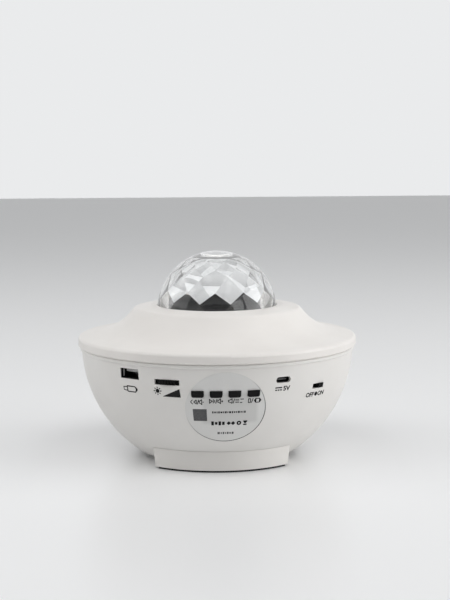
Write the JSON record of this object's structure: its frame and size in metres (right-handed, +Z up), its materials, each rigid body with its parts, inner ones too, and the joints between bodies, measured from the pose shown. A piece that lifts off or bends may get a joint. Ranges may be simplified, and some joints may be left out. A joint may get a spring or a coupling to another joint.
{
  "type": "planetarium projector",
  "caption": "Bowl-shaped star projector with a flared lid, a clear faceted dome over a geared ripple disc and grating wheel, rear keys and ports, and a loudspeaker in its base.",
  "frame": {"origin": "centre of the object's base, on the plane that the foot pads rest on", "axes": "+Z up through the dome; the keys and sockets look towards -Y"},
  "size_m": [0.168, 0.168, 0.1225],
  "materials": {
    "steel": "zinc-plated steel",
    "stand_white": "satin warm white moulding",
    "chip_black": "black epoxy",
    "nylon_white": "natural nylon",
    "key_black": "black moulded keys",
    "clear_lens": "clear moulded acrylic",
    "clear_dome": "clear moulded acrylic",
    "black_plastic": "black moulding",
    "rubber_black": "matt black rubber",
    "label_grey": "silver-grey film",
    "aluminium": "plain aluminium",
    "wire_red": "insulated lead",
    "brass": "turned brass",
    "housing_white": "satin white moulding",
    "board_green": "green solder mask",
    "plated_shell": "dark plated sheet steel",
    "paper_black": "black paper cone",
    "foam_black": "black foam"
  },
  "bodies": {
    "housing": {"lower_shell": "housing_white", "upper_shell": "housing_white", "crystal_dome": "clear_dome", "base_stand": "stand_white", "foot_pads": "rubber_black", "label_film": "label_grey", "optics_cover": "housing_white", "deck_plate": "black_plastic", "wheel_spindles": "steel", "drive_motor": "steel", "laser_module": "brass", "laser_holder": "aluminium", "led_heatsink": "aluminium", "led_board": "nylon_white", "condenser_lens": "clear_lens", "lens_holder": "black_plastic", "main_board": "board_green", "board_chips": "chip_black", "capacitors": "chip_black", "board_connectors": "nylon_white", "usb_a_socket": "plated_shell", "usb_a_tongue": "nylon_white", "usb_c_socket": "plated_shell", "usb_c_tongue": "key_black", "pot_body": "black_plastic", "tact_switches": "black_plastic", "slide_switch_body": "plated_shell", "speaker_frame": "black_plastic", "speaker_magnet": "steel", "speaker_surround": "foam_black", "lid_screws": "steel", "base_screws": "steel", "deck_screws": "steel", "cover_screws": "steel", "board_screws": "steel", "motor_lead": "wire_red", "speaker_lead": "wire_red", "laser_lead": "wire_red", "led_lead": "wire_red", "motor_screws": "steel", "speaker_screws": "steel", "window_plate": "black_plastic"},
    "ripple_wheel": {"ripple_disc": "clear_lens"},
    "grating_carrier": {"grating_wheel": "nylon_white", "diffraction_grating": "clear_lens"},
    "pinion_shaft": {"motor_pinion": "nylon_white", "motor_shaft": "steel"},
    "brightness_dial": {"brightness_wheel": "key_black"},
    "power_slider": {"switch_knob": "key_black"},
    "speaker_diaphragm": {"speaker_cone": "paper_black"},
    "previous_key": {"previous_button": "key_black"},
    "next_key": {"next_button": "key_black"},
    "play_key": {"play_button": "key_black"},
    "light_key": {"light_button": "key_black"}
  },
  "joints": [
    {"name": "previous_press", "type": "slide", "parent": "housing", "child": "previous_key", "axis": [0.19, 0.9818, 0], "range_m": [0, 0.0006], "stiffness_N_per_m": 1000, "springref_m": -0.0005},
    {"name": "next_press", "type": "slide", "parent": "housing", "child": "next_key", "axis": [0.0619, 0.9981, 0], "range_m": [0, 0.0006], "stiffness_N_per_m": 1000, "springref_m": -0.0005},
    {"name": "play_press", "type": "slide", "parent": "housing", "child": "play_key", "axis": [-0.0675, 0.9977, 0], "range_m": [0, 0.0006], "stiffness_N_per_m": 1000, "springref_m": -0.0005},
    {"name": "light_press", "type": "slide", "parent": "housing", "child": "light_key", "axis": [-0.1999, 0.9798, 0], "range_m": [0, 0.0006], "stiffness_N_per_m": 1000, "springref_m": -0.0005},
    {"name": "brightness_turn", "type": "hinge", "parent": "housing", "child": "brightness_dial", "pos_m": [-0.02909, -0.06755, 0.05565], "axis": [0, 0, 1], "range_deg": [-140, 140]},
    {"name": "power_slide", "type": "slide", "parent": "housing", "child": "power_slider", "axis": [0.7355, 0.6775, 0], "range_m": [-0.003, 0]},
    {"name": "ripple_spin", "type": "hinge", "parent": "housing", "child": "ripple_wheel", "pos_m": [-0.0115, 0, 0.0798], "axis": [0, 0, 1], "continuous": true},
    {"name": "grating_spin", "type": "hinge", "parent": "housing", "child": "grating_carrier", "pos_m": [0.01775, 0, 0.0798], "axis": [0, 0, 1], "continuous": true},
    {"name": "pinion_spin", "type": "hinge", "parent": "housing", "child": "pinion_shaft", "pos_m": [-0.00289, 0.02079, 0.0798], "axis": [0, 0, 1], "continuous": true},
    {"name": "cone_stroke", "type": "slide", "parent": "housing", "child": "speaker_diaphragm", "axis": [0, 0, -1], "range_m": [-0.0008, 0.0008], "stiffness_N_per_m": 2000, "deforming": ["speaker_surround"]}
  ],
  "couplings": [
    {"joint": "grating_spin", "follows": "ripple_spin", "ratio": -1.6},
    {"joint": "pinion_spin", "follows": "ripple_spin", "ratio": -4}
  ]
}
